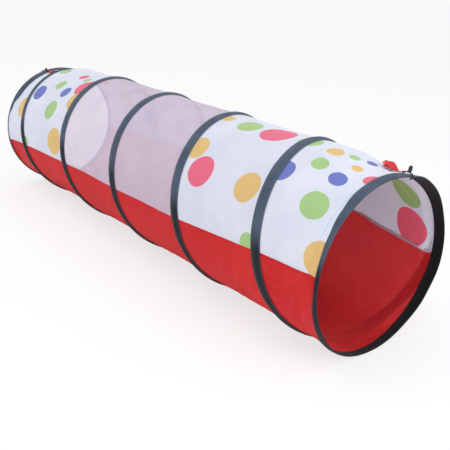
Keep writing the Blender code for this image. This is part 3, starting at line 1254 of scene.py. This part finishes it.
@dataclass(frozen=True)
class SpringWire:
    """The one unbroken spring wire: a flat loop at each end and the coil between them."""

    coil: Coil
    radius: float = 1.25 * MM
    depth: float = 3.3 * MM
    tail: float = 10.0
    crossing: float = 8.0
    tail_shift: float = 3.75 * MM
    sides: int = 10
    step: float = 4.0

    def build(self, material: Look) -> Piece:
        """Spin a circle along the wire's five stretches.

        Args:
            material: The wire's finish.

        Returns:
            The piece.
        """
        coil = self.coil
        bm = bmesh.new()
        first = coil.start - FULL_TURN - self.tail
        place = coil.on_cylinder(first, -coil.ring_x - self.tail_shift, self.depth)
        turn = Matrix.Rotation(math.radians(first + FULL_TURN / 4), 4, "X")
        made = bmesh.ops.create_circle(
            bm,
            cap_ends=True,
            segments=self.sides,
            radius=self.radius,
            matrix=Matrix.Translation(place) @ turn,
        )
        grown = [*made["verts"], *bm.edges]
        loop = FULL_TURN - self.crossing
        stretches = (
            (self.tail, 0.0),
            (self.crossing, self.tail_shift),
            (loop, 0.0),
            (coil.turns * FULL_TURN, 2 * coil.ring_x),
            (loop, 0.0),
            (self.crossing, self.tail_shift),
            (self.tail, 0.0),
        )
        for degrees, climb in stretches:
            steps = max(round(degrees / self.step), 2)
            last = coil.carry(bm, grown, degrees, climb, steps)
            grown = [part for part in last if not isinstance(part, bmesh.types.BMFace)]
        cap(bm, grown)
        for vert in bm.verts:
            vert.co = coil.drawn_in(vert.co)
        bmesh.ops.recalc_face_normals(bm, faces=bm.faces[:])
        return make_piece("coiled_spring_wire", bm, material)


@dataclass(frozen=True)
class Strip:
    """A narrow strip of ribbon, elastic or tape, bent along a path."""

    name: str
    width: float
    thickness: float

    def build(
        self,
        steps: tuple[int, int],
        route: Callable[[float, float], Vector],
        length: float,
        material: Look,
    ) -> Piece:
        """Build the strip from a grid that a route bends.

        Args:
            steps: How many faces it has along and across.
            route: Gives the place for a share of the length and a share of the width from -1 to 1.
            length: Its length, for the lay.
            material: Its finish.

        Returns:
            The piece.
        """
        bm = bmesh.new()
        bmesh.ops.create_grid(bm, x_segments=steps[0], y_segments=steps[1], size=0.5)
        lay_out(bm, lambda vert: (vert.co.x + 0.5) * length, lambda vert: vert.co.y * self.width)
        for vert in bm.verts:
            vert.co = route(vert.co.x + 0.5, 2 * vert.co.y)
        return make_piece(self.name, bm, material, self.thickness)


def along_path(points: Sequence[Vector], share: float) -> Vector:
    """Return the point at a share of the way along a smooth curve through some points.

    Args:
        points: The points, in order.
        share: From 0 at the first to 1 at the last.

    Returns:
        The point on the curve.
    """
    spans = len(points) - 1
    at = min(max(share, 0.0), 1.0) * spans
    first = min(int(at), spans - 1)
    part = at - first
    before = points[max(first - 1, 0)]
    one, other = points[first], points[first + 1]
    after = points[min(first + 2, spans)]
    return 0.5 * (
        2 * one
        + (other - before) * part
        + (2 * before - 5 * one + 4 * other - after) * part**2
        + (3 * one - before - 3 * other + after) * part**3
    )


@dataclass(frozen=True)
class Tie:
    """The elastic strap over one hem with its standing tab, and the satin ribbon beside it."""

    coil: Coil
    name: str
    side: int
    angle: float
    body: str
    strap_width: float = 8.0 * MM
    strap_thickness: float = 1.2 * MM
    tab_rise: float = 18.5 * MM
    tab_half: float = 1.6 * MM
    leg_drift: float = 16.0 * MM
    ribbon_width: float = 10.0 * MM
    bunch_width: float = 36.0 * MM
    ribbon_length: float = 68.0 * MM
    ribbon_wall: float = 0.35 * MM
    ribbon_start: float = -3.2 * MM
    run_share: float = 0.35
    run_twist: float = 3.5 * math.pi
    fold_height: float = 2.6 * MM
    curl_height: float = 4.0 * MM
    ragged: float = 2.0 * MM
    lowest: float = -6.5 * MM
    fullness: float = 1.0
    layers: tuple[tuple[float, float, float], ...] = (
        (0.0, 1.0, 0.2), (5.0 * MM, 0.9, 1.3), (9.0 * MM, 0.74, 2.6),
    )

    def place(self, x: float, across: float, height: float) -> Vector:
        """Return the place at a distance from the hem's middle, across the strap and above it."""
        spot = self.coil.place(self.angle, self.side * (self.coil.ring_x + x), -height)
        turn = math.radians(self.angle)
        return spot + Vector((0.0, -math.cos(turn), -math.sin(turn))) * across

    def add_strap(self, material: Look) -> Piece:
        """Add the strap: over the hem, up into a folded tab, and down the front.

        Args:
            material: The elastic's finish.

        Returns:
            The strap.
        """
        half, top = self.tab_half / MM, self.tab_rise / MM
        shape = (
            (-17.8, -4.0), (-15.5, -1.3), (-10.0, 1.2), (-4.0, 1.5), (-half, 4.0), (-half, 0.5 * top),
            (-half, top - 3.0), (0.0, top), (half, top - 3.0), (half, 0.5 * top), (half, 4.0),
            (4.0, 1.5), (10.0, 1.3), (16.0, -0.4), (18.9, -4.5), (19.2, -9.0), (18.8, -12.5),
        )
        drifts = (0.1, 0.3, 0.55, 0.75, 0.9, 1.0)
        straight = (0.0,) * (len(shape) - len(drifts))
        points = [
            Vector((x * MM, drift * self.leg_drift, up * MM))
            for (x, up), drift in zip(shape, straight + drifts)
        ]
        length = sum((b - a).length for a, b in zip(points, points[1:]))

        def route(share: float, across: float) -> Vector:
            spot = along_path(points, share)
            return self.place(spot.x, spot.y + across * self.strap_width / 2, spot.z)

        strip = Strip(f"{self.name}_elastic_strap", self.strap_width, self.strap_thickness)
        return strip.build((96, 6), route, length, material)

    def add_ribbon(self, material: Look) -> list[Piece]:
        """Add the ribbon: a thin twisted run from the tab, and the bunch that it ends in.

        Args:
            material: The satin's finish.

        Returns:
            The run, and the bunch's three folds.
        """
        run_length = self.run_share * self.ribbon_length
        bunch_length = self.ribbon_length - run_length
        back = self.ribbon_start

        def run(share: float, across: float) -> Vector:
            twist = self.run_twist * share
            narrow = 0.5 * self.ribbon_width * (0.42 + 0.1 * math.sin(9 * share))
            up = 4.5 * MM + 1.5 * MM * math.sin(math.pi * share) - 7.0 * MM * share
            x = back - run_length * share
            sideways = across * narrow * math.cos(twist)
            return self.place(x, sideways, up + across * narrow * math.sin(twist))

        pieces = []
        twisted = Strip(f"{self.name}_ribbon_run", 0.45 * self.ribbon_width, self.ribbon_wall)
        pieces.append(twisted.build((60, 6), run, run_length, material))
        for number, (lift, spread, phase) in enumerate(self.layers):

            def fan(share: float, across: float) -> Vector:
                opened = math.sin(0.5 * math.pi * min(1.0, share * 1.25)) ** 1.3
                half = 0.5 * self.bunch_width * spread * (0.16 + 0.84 * opened)
                folds = math.sin(across * 8.5 + phase) * self.fold_height * (0.3 + opened)
                curl = self.curl_height * opened * math.sin(math.pi * share)
                edge = self.ragged * math.sin(5 * across + 2 * phase) * share
                x = back - run_length - bunch_length * share - edge
                up = self.fullness * (lift * opened + curl + folds) - 3.0 * MM
                return self.place(x, across * half, max(up, self.lowest))

            name = f"{self.name}_ribbon_fold_{number + 1}"
            fold = Strip(name, self.bunch_width, self.ribbon_wall)
            pieces.append(fold.build((40, 64), fan, bunch_length, material))
        return pieces


# How the far mouth's lips differ from the near one's.
FAR_LIPS: dict[str, Pairs] = {
    "outer_mm": (
        (-180, 16.0), (-60, 16.0), (-20, 36.0), (50, 40.0), (66, 20.0), (76, 9.0), (94, 9.0),
        (104, 25.0), (140, 28.0), (180, 16.0),
    ),
    "front_mm": ((-180, 17.0), (50, 17.0), (74, 9.0), (94, 9.0), (104, 17.0), (180, 17.0)),
    "flare_mm": ((-180, 0.0), (180, 0.0)),
}


class CrawlTunnel:
    """The whole tunnel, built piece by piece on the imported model."""

    TAPE_CUT = 262.5
    TAPE_LEAD = 3.0
    TAPE_GAP = 0.05
    # Height in metres below which the navy tapes get painted shade.
    TAPE_PAINTED_SHADE_UNDER = 0.3
    TAPE_PROUD = 2.5 * MM
    SEAM_ANGLE = 93.0
    BINDING_WIDTH = 10.0 * MM
    BINDING_UNDER = 1.1 * MM
    BINDING_THICKNESS = 0.6 * MM
    BINDING_CLEAR = 1.0 * MM
    END_BAYS = 2

    def __init__(self, frame: dict) -> None:
        """Read the sizes that the pieces follow.
        """
        low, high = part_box("near_hem")
        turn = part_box("coil_casing_3")
        self.coil = Coil(
            ring_x=(low[0] + high[0]) / 2,
            radius=(turn[1][2] - turn[0][2]) / 2 + self.TAPE_PROUD,
            mouth_radius=(high[2] - low[2]) / 2,
            hem_edge=low[0],
        )
        self.cloth = Cloth(self.coil, pulls=PULLS)
        self.casing = Casing(self.coil)
        self.hems = {"near": Hem(self.coil, 1), "far": Hem(self.coil, -1, **FAR_LIPS)}
        behaviour = frame["record"]["behaviour"]
        joint = next(j for j in behaviour["joints"] if j["name"] == "collapse")
        ratios = {c["joint"]: c["ratio"] for c in behaviour["couplings"]}
        shares = {joint["child"]: 1.0, joint["parent"]: 0.0}
        for slide in behaviour["joints"]:
            if slide["name"] in ratios:
                shares[slide["child"]] = ratios[slide["name"]]
        travel = joint["range_m"][1]
        self.collapse = Collapse(joint["name"], travel, shares, self.coil.hem_edge)
        self.frame = frame

    def add_wire(self) -> None:
        """Add the spring wire and plate the two ferrules."""
        steel = DrawnSteel("drawn spring steel", Colour.STEEL, Colour.ZINC, 0.32).dress()
        wire = seat(SpringWire(self.coil).build(steel), "near_end", Slot.WIRE, "spring_wire")
        self.collapse.fold(wire, "near_end")
        plate = DrawnSteel("zinc plated steel", Colour.ZINC, Colour.STEEL, 0.4).dress()
        for end in ("far", "near"):
            ferrule = self.frame["nodes"][f"{end}_wire_ferrule"]
            for slot in ferrule.material_slots:
                slot.material = plate

    def add_tapes(self) -> None:
        """Add the hem tapes and the five turns of casing tape."""
        navy = (Colour.NAVY, Colour.NAVY_SHADE, 0.8)
        dark, lining = self.TAPE_PAINTED_SHADE_UNDER, self.hems["near"].girth_to_front()
        hem_finish = SewnTape("hem tape", *navy, (4.0 * MM,), lining, painted_shade_under=dark).dress()
        rows = (3.2 * MM, 34.5 * MM)
        finish = SewnTape("casing tape", *navy, rows, painted_shade_under=dark).dress()
        coil = self.coil
        for end, side in (("far", -1), ("near", 1)):
            tape = self.hems[end].add_tape(f"{end}_hem_tape", hem_finish)
            seat(tape, f"{end}_end", Slot.TAPE, f"{end}_hem")
            wrap = JointWrap(coil, side).build(f"{end}_joint_wrap", finish)
            seat(wrap, f"{end}_end", Slot.TAPE, f"{end}_joint_cover")
        cuts = [coil.start + self.TAPE_LEAD]
        cuts += [self.TAPE_CUT + turn * FULL_TURN for turn in range(coil.turns - 1)]
        cuts.append(coil.end - self.TAPE_LEAD)
        for number, (start, end) in enumerate(zip(cuts, cuts[1:]), start=1):
            span = (start + self.TAPE_GAP, end - self.TAPE_GAP)
            tape = self.casing.add_turn(number, *span, finish)
            seat(tape, f"turn_{number}", Slot.TAPE, f"coil_casing_{number}")
            self.collapse.fold(tape, f"turn_{number}")

    def add_cloth(self) -> None:
        """Add the dotted, mesh and red cloth of all the bays."""
        bodies = ["far_end"] + [f"turn_{k + 1}" for k in range(self.coil.turns)]
        reach = self.cloth.radius
        white = {
            bay: Taffeta(
                f"dotted taffeta {bay + 1}", Colour.WHITE, Colour.WHITE_SHADE, 0.72, dots, reach
            ).dress()
            for bay, dots in self.dots_by_bay().items()
        }
        net = Netting("knitted netting", Colour.NET, Colour.NET_SHADE, 0.8).dress()
        red = Taffeta(
            "coated red taffeta", Colour.RED, Colour.RED_SHADE, 0.65, glow_depth=4.0 * MM, shine=0.08
        ).dress()
        last = self.coil.turns
        for bay, body in enumerate(bodies):
            if bay in white:
                far = bay < self.END_BAYS
                number = bay + 1 if far else bay - last + self.END_BAYS
                node = f"{'far' if far else 'near'}_top_panel_{number}"
                slot, finish = Slot.WHITE, white[bay]
            else:
                node = f"mesh_panel_{bay - self.END_BAYS + 1}"
                slot, finish = Slot.NET, net
            start = -self.SEAM_ANGLE
            if bay == 0:
                start = self.untwisted(self.coil.start + self.coil.wedge_tip, -1)
            kind = "net" if slot is Slot.NET else "dotted"
            name = f"{kind}_cloth_{bay + 1}"
            top = Panel(self.coil, name, node, body, bay, start, self.SEAM_ANGLE)
            self.add_panel(top, slot, finish)
            end = FULL_TURN - self.SEAM_ANGLE
            if bay == last:
                tip = self.coil.end - (last - 1) * FULL_TURN - self.coil.wedge_tip
                end = self.untwisted(tip, 1)
            name, node = f"red_floor_cloth_{bay + 1}", f"floor_panel_{bay + 1}"
            floor = Panel(self.coil, name, node, body, bay, self.SEAM_ANGLE, end)
            self.add_panel(floor, Slot.RED, red)
        self.add_collars(white, red)

    def untwisted(self, angle: float, side: int) -> float:
        """Return the angle that the cloth's twist turns to a wanted one at an end."""
        return angle - self.coil.twist(angle, side * self.coil.ring_x)

    def add_collars(self, white: dict[int, Look], red: Look) -> None:
        """Add the edges of the cloth under both hem tapes, white above the seams and red below.

        Args:
            white: The dotted cloth's finish, by bay.
            red: The floor's finish.
        """
        coil = self.coil
        for end, side, bay in (("far", -1, 0), ("near", 1, coil.turns)):
            x = side * coil.ring_x
            front = self.SEAM_ANGLE + coil.twist(self.SEAM_ANGLE, x)
            back = FULL_TURN - self.SEAM_ANGLE
            back += coil.twist(back, x)
            hem, span = self.hems[end], (back - FULL_TURN, front)
            above = hem.add_collar(f"{end}_white_edge", span, white[bay])
            seat(above, f"{end}_end", Slot.WHITE)
            below = hem.add_collar(f"{end}_red_edge", (front, back), red)
            seat(below, f"{end}_end", Slot.RED)

    def add_panel(self, panel: Panel, slot: Slot, finish: Look) -> None:
        """Args:
            panel: The panel.
            slot: The record's material slot, which is passed on to seat.
            finish: Its finish.
        """
        piece = seat(panel.build(self.cloth, finish), panel.body, slot, panel.node)
        flat, area = panel.flat()
        self.collapse.fold(piece, panel.body)

    def add_seam_tapes(self) -> None:
        """Add the tape sewn inside along each long seam."""
        finish = SewnTape(
            "seam binding", Colour.SEAM_PINK, Colour.WHITE_SHADE, 0.75, rows=(-3.6 * MM, 3.6 * MM)
        ).dress()
        coil, cloth = self.coil, self.cloth
        width = self.BINDING_WIDTH
        for name, angle in (("front", self.SEAM_ANGLE), ("back", FULL_TURN - self.SEAM_ANGLE)):
            panels = [Panel(coil, "", "", "", bay, angle, angle) for bay in range(coil.turns + 1)]
            ends = coil.hem_edge - self.BINDING_CLEAR

            def route(share: float, across: float) -> Vector:
                x = -ends + 2 * ends * share
                seam = angle + coil.twist(angle, x)
                degrees = seam + math.degrees(across * width / 2 / coil.radius)
                left, right = next(
                    edges for edges in (p.edges(seam) for p in panels) if x <= edges[1] + MM
                )
                part = min(max((x - left) / (right - left), 0.0), 1.0)
                laid = cloth.depth_at((left, right), part, degrees, x)
                return coil.place(degrees, x, laid + self.BINDING_UNDER)

            strip = Strip(f"{name}_seam_binding", width, -self.BINDING_THICKNESS)
            piece = strip.build((360, 2), route, 2 * ends, finish)
            seat(piece, "near_end", Slot.SEAM, f"{name}_seam_tape")
            self.collapse.fold(piece, "near_end")

    def add_ties(self) -> None:
        """Add the elastic strap and the ribbon of both ends."""
        elastic = SewnTape(
            "ribbed elastic", Colour.BLACK, Colour.BLACK_SHADE, 0.85, rows=(-3.4 * MM, 3.4 * MM)
        ).dress()
        satin = Satin("satin ribbon", Colour.SATIN_RED, Colour.SATIN_SHADE, 0.35).dress()
        ties = (
            Tie(self.coil, "far", -1, 15.0, "far_end", tab_rise=9.0 * MM, fullness=0.45),
            Tie(self.coil, "near", 1, -15.0, "near_end"),
        )
        for tie in ties:
            strap = tie.add_strap(elastic)
            seat(strap, tie.body, Slot.ELASTIC, f"{tie.name}_tie_strap")
            for ribbon in tie.add_ribbon(satin):
                seat(ribbon, tie.body, Slot.RIBBON, f"{tie.name}_tie_ribbon")

    def dots_by_bay(self) -> dict[int, tuple[Dot, ...]]:
        """Sort the printed dots by the bays of dotted cloth that they fall on.

        Returns:
            The dots of each bay, by its number.
        """
        last = self.coil.turns
        bays = [*range(self.END_BAYS), *range(last + 1 - self.END_BAYS, last + 1)]
        found = {}
        for bay in bays:
            panel = Panel(self.coil, "", "", "", bay, -self.SEAM_ANGLE, self.SEAM_ANGLE)
            found[bay] = tuple(dot for dot in DOTS if self.falls_on(dot, panel))
        return found

    def falls_on(self, dot: Dot, panel: Panel) -> bool:
        """Tell whether any of a dot lies on a panel.

        Args:
            dot: The dot.
            panel: The panel.

        Returns:
            True where its edge or its middle does.
        """
        reach = math.degrees(dot.radius / self.coil.radius)
        for angle in (dot.angle - reach, dot.angle, dot.angle + reach):
            left, right = panel.edges(angle)
            if left - dot.radius < dot.x < right + dot.radius:
                return True
        return False


# The print, at the places that the photograph shows. Where it shows none, at the back, the dots
# carry on in the same way. A row is a dot's place along the tunnel and round it, and its radius.
PRINT = {
    Colour.DOT_PINK: (
        (0.400, 56, 0.047), (0.868, 13, 0.024), (0.505, 5, 0.053), (0.792, -83, 0.056),
        (0.640, -42, 0.034), (-0.446, 27, 0.044), (-0.560, 13, 0.022), (-0.790, -38, 0.044),
        (-0.470, -48, 0.046),
    ),
    Colour.DOT_ORANGE: (
        (0.334, 42, 0.037), (0.592, 54, 0.043), (0.802, 8, 0.015), (0.878, 72, 0.043),
        (0.295, 7, 0.024), (0.716, 5, 0.023), (0.470, -40, 0.040), (-0.783, 64, 0.043),
        (-0.444, 82, 0.050), (-0.418, 43, 0.040), (-0.800, -12, 0.034), (-0.700, -62, 0.048),
    ),
    Colour.DOT_GREEN: (
        (0.660, 85, 0.030), (0.730, 21, 0.023), (0.803, 46, 0.038), (0.396, 7, 0.038),
        (0.620, 3, 0.035), (0.760, -1, 0.015), (0.785, -57, 0.050), (0.352, -66, 0.048),
        (-0.538, 58, 0.038), (-0.606, 32, 0.026), (-0.711, 14, 0.027), (-0.505, 17, 0.018),
        (-0.690, 94, 0.018), (-0.600, -30, 0.036),
    ),
    Colour.DOT_BLUE: (
        (0.661, 36, 0.034), (0.800, 24, 0.024), (0.796, -7, 0.015), (0.250, -38, 0.042),
        (0.560, -74, 0.046), (-0.690, 47, 0.034), (-0.524, 38, 0.026), (-0.560, -76, 0.044),
    ),
}
DOTS = tuple(Dot(*row, colour) for colour, rows in PRINT.items() for row in rows)

# The pulled folds that the photograph shows, most of them below the long seam by the near mouth.
# A row is a fold's two ends, along the tunnel and round it, and its height and half width in mm.
FOLDS = (
    (0.872, 86.0, 0.760, 101.0, 3.2, 8.0), (0.866, 91.0, 0.790, 117.0, 3.6, 8.0),
    (0.846, 98.0, 0.770, 133.0, 2.6, 9.0), (0.700, 92.0, 0.812, 96.0, 2.0, 7.0),
    (0.690, 104.0, 0.782, 112.0, 2.2, 9.0), (0.720, 80.0, 0.800, 84.5, 2.0, 5.0),
    (0.735, 74.0, 0.842, 78.0, 1.6, 6.0), (0.600, 96.0, 0.520, 124.0, 1.8, 12.0),
    (0.640, 104.0, 0.560, 140.0, 1.8, 12.0), (0.430, 98.0, 0.360, 118.0, 1.5, 10.0),
    (0.480, 66.0, 0.560, 84.0, 1.3, 8.0), (0.770, 30.0, 0.840, 66.0, 1.5, 9.0),
    (0.835, -62.0, 0.700, -40.0, 2.0, 10.0), (0.850, -118.0, 0.740, -150.0, 2.6, 10.0),
    (0.810, -105.0, 0.690, -128.0, 2.0, 9.0), (-0.640, 76.0, -0.530, 84.0, 1.5, 8.0),
    (-0.380, 70.0, -0.280, 84.0, 1.6, 10.0), (-0.020, 66.0, 0.080, 84.0, 1.6, 10.0),
    (-0.100, 104.0, -0.180, 132.0, 1.8, 11.0), (-0.480, -98.0, -0.560, -128.0, 1.8, 11.0),
    (0.150, -100.0, 0.060, -134.0, 2.0, 11.0),
)
PULLS = tuple(
    Pull((x, angle), (to_x, to_angle), high * MM, half * MM)
    for x, angle, to_x, to_angle, high, half in FOLDS
)


@dataclass(frozen=True)
class Studio:
    """The plain studio: the camera at the photograph's viewpoint, soft light and a pale floor."""

    camera_place: tuple[float, float, float] = (1.857, -1.291, 0.922)
    yaw: float = 140.90
    pitch: float = -20.67
    roll: float = 3.03
    lens_mm: float = 55.37
    world_light: float = 0.8
    floor_glow: float = 0.72

    def add_camera(self) -> None:
        """Add the camera, from its place and its yaw, pitch and roll."""
        yaw, pitch, roll = (math.radians(a) for a in (self.yaw, self.pitch, self.roll))
        ahead = Vector(
            (math.cos(yaw) * math.cos(pitch), math.sin(yaw) * math.cos(pitch), math.sin(pitch))
        )
        level = ahead.cross(Vector((0.0, 0.0, 1.0))).normalized()
        upright = level.cross(ahead)
        right = level * math.cos(roll) + upright * math.sin(roll)
        up = upright * math.cos(roll) - level * math.sin(roll)
        lens = bpy.data.cameras.new("photograph")
        lens.lens = self.lens_mm
        camera = bpy.data.objects.new("photograph", lens)
        turn = Matrix((right, up, -ahead)).transposed().to_4x4()
        camera.matrix_world = Matrix.Translation(self.camera_place) @ turn
        bpy.context.collection.objects.link(camera)
        bpy.context.scene.camera = camera

    def add_world(self) -> None:
        """Add the world: white to the camera and in reflections, softer as light."""
        world = bpy.data.worlds.new("studio")
        world.use_nodes = True
        graph = Graph(world.node_tree)
        seen = graph.add("LightPath", {}, "Is Camera Ray")
        path = seen.node.outputs
        for name in ("Is Glossy Ray", "Is Transmission Ray"):
            seen = graph.add("Math", {0: seen, 1: path[name]}, operation="MAXIMUM")
        sky = graph.tree.nodes["Background"].inputs
        graph.feed(sky["Color"], Colour.STUDIO)
        light = {"Value": seen, "To Min": self.world_light}
        graph.feed(sky["Strength"], graph.add("MapRange", light))
        bpy.context.scene.world = world

    def add_lamps(self) -> None:
        """Add the two soft lamps."""
        lamps = (
            ("overhead", (-0.4, -1.6, 3.2), (0.0, 0.0, 0.3), 3.0, 26.0),
            ("front", (3.1, 0.1, 1.3), (0.3, 0.0, 0.15), 1.5, 25.0),
        )
        for name, place, target, size, power in lamps:
            lamp = bpy.data.lights.new(name, "AREA")
            lamp.shape = "DISK"
            lamp.size = size
            lamp.energy = power
            light = bpy.data.objects.new(name, lamp)
            light.location = place
            aim = Vector(target) - Vector(place)
            light.rotation_mode = "QUATERNION"
            light.rotation_quaternion = aim.to_track_quat("-Z", "Y")
            bpy.context.collection.objects.link(light)

    def add_floor(self) -> None:
        """Add the pale floor, which keeps the tunnel's shadow."""
        bm = bmesh.new()
        bmesh.ops.create_grid(bm, x_segments=1, y_segments=1, size=30.0)
        made = bpy.data.materials.new("studio floor")
        made.use_nodes = True
        graph = Graph(made.node_tree)
        shader = graph.tree.nodes["Principled BSDF"]
        plain = {"Base Color": Colour.STUDIO, "Roughness": 1.0, "Specular IOR Level": 0.0}
        for name, value in plain.items():
            graph.feed(shader.inputs[name], value)
        glow = graph.add("Emission", {"Color": Colour.STUDIO, "Strength": 1.0})
        seen = graph.add("LightPath", {}, "Is Camera Ray")
        share = graph.summed((seen, self.floor_glow))
        mixed = graph.add("MixShader", {0: share, 1: shader.outputs[0], 2: glow})
        graph.feed(graph.tree.nodes["Material Output"].inputs["Surface"], mixed)
        floor = make_piece("studio_floor", bm, made)
        floor.location.z = -0.5 * MM


def main() -> None:
    """Build the studio and the tunnel in order."""
    logging.basicConfig(level=logging.INFO, format="%(message)s")
    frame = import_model()
    bpy.context.scene.view_settings.view_transform = "Standard"
    studio = Studio()
    studio.add_camera()
    studio.add_world()
    studio.add_lamps()
    studio.add_floor()
    tunnel = CrawlTunnel(frame)
    tunnel.add_wire()
    tunnel.add_tapes()
    tunnel.add_cloth()
    tunnel.add_seam_tapes()
    tunnel.add_ties()


if __name__ == "__main__":
    main()
